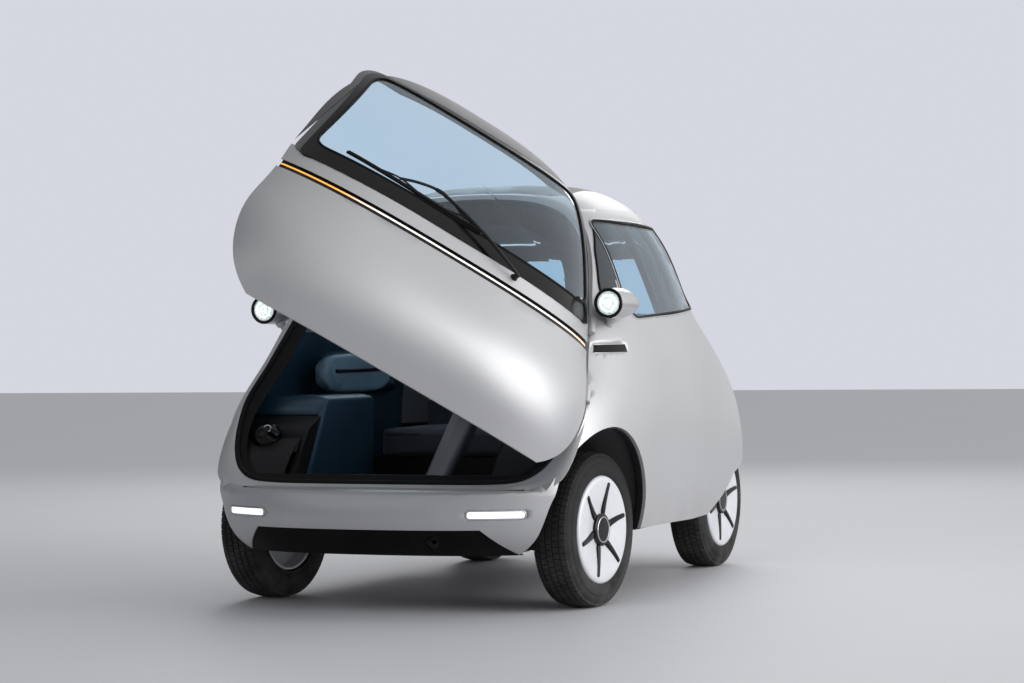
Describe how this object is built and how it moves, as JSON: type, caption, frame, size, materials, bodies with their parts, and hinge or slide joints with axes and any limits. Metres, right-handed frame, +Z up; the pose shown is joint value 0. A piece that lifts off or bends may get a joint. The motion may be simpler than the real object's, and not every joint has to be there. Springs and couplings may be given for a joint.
{
  "type": "microcar",
  "caption": "Two-seat bubble-shaped electric microcar with its front door open, a rear lid, egg-shaped headlamp pods, steered front wheels and a bench seat.",
  "frame": {"origin": "on the ground under the middle of the whole car's box, with the door open", "axes": "+Z up, +Y towards the rear of the car, +X towards the car's left side"},
  "size_m": [1.477, 3.0782, 1.8566],
  "materials": {
    "body_paint": "satin pearl silver",
    "black_plastic": "matte black moulding",
    "roof_cloth": "dark grained roof panel",
    "seal_rubber": "black rubber",
    "window_glass": "light blue tinted glass",
    "lamp_lens": "clear lit lens",
    "light_bar": "black bar with a lit line",
    "chrome_trim": "polished",
    "mirror_glass": "mirror",
    "cabin_trim": "blue grey moulded trim",
    "cabin_grey": "grey painted trim",
    "seat_fabric": "dark woven cloth",
    "chassis_steel": "black coated steel",
    "battery_case": "plain cast case",
    "tyre_rubber": "black tyre",
    "wheel_cover": "satin silver cover",
    "lamp_red": "red rear light bar"
  },
  "bodies": {
    "root": {"side_panel_left": "body_paint", "side_panel_right": "body_paint", "roof_frame": "body_paint", "roof_canopy": "roof_cloth", "rear_bumper": "body_paint", "front_bumper": "body_paint", "lower_grille": "black_plastic", "daytime_lamps": "lamp_lens", "side_strips": "black_plastic", "window_bars": "black_plastic", "side_glass": "window_glass", "opening_seal": "seal_rubber", "headlamp_pods": "chrome_trim", "headlamp_lenses": "lamp_lens", "wing_mirrors": "mirror_glass", "headlamp_brackets": "black_plastic", "floor_pan": "black_plastic", "tow_tube": "chassis_steel", "rear_bulkhead": "black_plastic", "load_floor": "black_plastic", "arch_covers": "cabin_trim", "arch_liners": "black_plastic", "battery_pack": "battery_case", "drive_motor": "battery_case", "seat_base": "black_plastic", "seat_cushion": "seat_fabric", "seat_back": "seat_fabric", "side_trims": "cabin_trim", "steering_column": "cabin_grey", "dash_bar": "cabin_grey", "front_suspension": "chassis_steel", "rear_axle": "chassis_steel", "rear_springs": "chassis_steel", "hinge_barrels": "chassis_steel"},
    "door": {"door_lower_panel": "body_paint", "door_light_bar": "light_bar", "door_belt_panel": "body_paint", "windscreen_frame": "body_paint", "windscreen_border": "black_plastic", "windscreen_glass": "window_glass", "door_lining": "cabin_trim", "wiper": "black_plastic"},
    "rear_lid": {"rear_lid_frame": "body_paint", "rear_glass": "window_glass", "lid_light_bar": "lamp_red"},
    "knuckle_left": {"knuckle_left": "chassis_steel"},
    "knuckle_right": {"knuckle_right": "chassis_steel"},
    "steering_wheel": {"steering_wheel": "black_plastic"},
    "wheel_front_left": {"tyre_front_left": "tyre_rubber", "wheel_front_left": "wheel_cover"},
    "wheel_front_right": {"tyre_front_right": "tyre_rubber", "wheel_front_right": "wheel_cover"},
    "wheel_rear_left": {"tyre_rear_left": "tyre_rubber", "wheel_rear_left": "wheel_cover"},
    "wheel_rear_right": {"tyre_rear_right": "tyre_rubber", "wheel_rear_right": "wheel_cover"}
  },
  "joints": [
    {"name": "door_hinge", "type": "hinge", "parent": "root", "child": "door", "pos_m": [0.6107, -0.36556, 1], "axis": [-0.1692, 0.5986, 0.7829], "range_deg": [-50.1, 0]},
    {"name": "lid_hinge", "type": "hinge", "parent": "root", "child": "rear_lid", "pos_m": [0, 0.92169, 1.304], "axis": [1, 0, 0], "range_deg": [0, 75]},
    {"name": "steer_left", "type": "hinge", "parent": "root", "child": "knuckle_left", "pos_m": [0.575, -0.45486, 0.2666], "axis": [0, 0, 1], "range_deg": [-25, 35]},
    {"name": "steer_right", "type": "hinge", "parent": "root", "child": "knuckle_right", "pos_m": [-0.575, -0.45486, 0.2666], "axis": [0, 0, 1], "range_deg": [-25, 35]},
    {"name": "steering_turn", "type": "hinge", "parent": "root", "child": "steering_wheel", "pos_m": [0.165, -0.24486, 0.84], "axis": [0.293, 0.347, 0.8909], "range_deg": [-300, 420]},
    {"name": "roll_front_left", "type": "hinge", "parent": "knuckle_left", "child": "wheel_front_left", "pos_m": [0.60538, -0.45752, 0.2666], "axis": [0.9962, -0.0872, 0], "continuous": true},
    {"name": "roll_rear_left", "type": "hinge", "parent": "root", "child": "wheel_rear_left", "pos_m": [0.4945, 1.11114, 0.2666], "axis": [1, 0, 0], "continuous": true},
    {"name": "roll_front_right", "type": "hinge", "parent": "knuckle_right", "child": "wheel_front_right", "pos_m": [-0.60538, -0.4522, 0.2666], "axis": [0.9962, -0.0872, 0], "continuous": true},
    {"name": "roll_rear_right", "type": "hinge", "parent": "root", "child": "wheel_rear_right", "pos_m": [-0.4945, 1.11114, 0.2666], "axis": [1, 0, 0], "continuous": true}
  ],
  "couplings": [
    {"joint": "steer_right", "follows": "steer_left", "ratio": 1},
    {"joint": "steering_turn", "follows": "steer_left", "ratio": 12}
  ]
}
